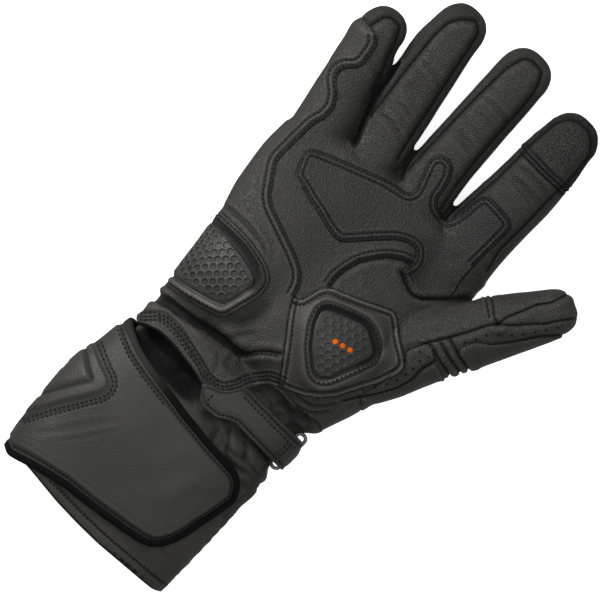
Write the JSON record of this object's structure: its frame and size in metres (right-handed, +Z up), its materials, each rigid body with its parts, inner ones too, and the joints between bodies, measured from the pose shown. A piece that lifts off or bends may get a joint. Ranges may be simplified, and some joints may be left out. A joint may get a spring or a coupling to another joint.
{
  "type": "motorcycle gauntlet glove",
  "caption": "Long-cuffed leather motorcycle glove for the right hand, lying on its back with its padded palm, heel slider, wrist strap and closed cuff flap showing.",
  "frame": {"origin": "middle of the glove's bounding box at the level it rests on", "axes": "+X across the palm towards the thumb, +Y along the hand towards the fingertips, +Z up out of the palm"},
  "size_m": [0.187, 0.3306, 0.0536],
  "materials": {
    "palm_leather": "fine-grained drum-dyed cowhide, worn matt, slightly glossy on its crowns",
    "back_leather": "plain smooth cowhide, matt",
    "reinforcement_leather": "second layer of smooth cowhide, sewn round its edge with two rows of black thread",
    "smooth_leather": "smoother, darker grip leather",
    "padded_leather": "leather over foam padding, sewn round its edge",
    "honeycomb_rubber": "moulded grip pad of hexagonal cells, matt dark grey with a few cells in orange",
    "slider_polymer": "moulded honeycomb slider, matt dark grey",
    "tip_suede": "black napped leather with a fine pebbled nap",
    "stretch_leather": "gathered stretch leather",
    "cuff_lining": "black soft lining and gusset cloth",
    "binding_tape": "folded black tape",
    "strap_leather": "soft leather strap, edge-sewn",
    "ring_steel": "dark steel wire, worn"
  },
  "bodies": {
    "root": {"palm_panel": "palm_leather", "back_panel": "back_leather", "little_finger": "palm_leather", "ring_finger": "palm_leather", "middle_finger": "palm_leather", "index_finger": "palm_leather", "thumb": "palm_leather", "side_reinforcement": "reinforcement_leather", "palm_patch": "smooth_leather", "thumb_heel_pad": "padded_leather", "honeycomb_insert": "honeycomb_rubber", "heel_slider": "slider_polymer", "slider_surround": "reinforcement_leather", "index_tip_patch": "tip_suede", "thumb_knuckle_panel": "reinforcement_leather", "thumb_side_panel": "reinforcement_leather", "thumb_stretch_ribs": "stretch_leather", "inner_cuff": "cuff_lining", "cuff_flap": "palm_leather", "flap_binding": "binding_tape", "chevron_panel": "reinforcement_leather", "cuff_hem": "strap_leather", "wrist_strap": "strap_leather", "strap_ring": "ring_steel"}
  },
  "joints": []
}
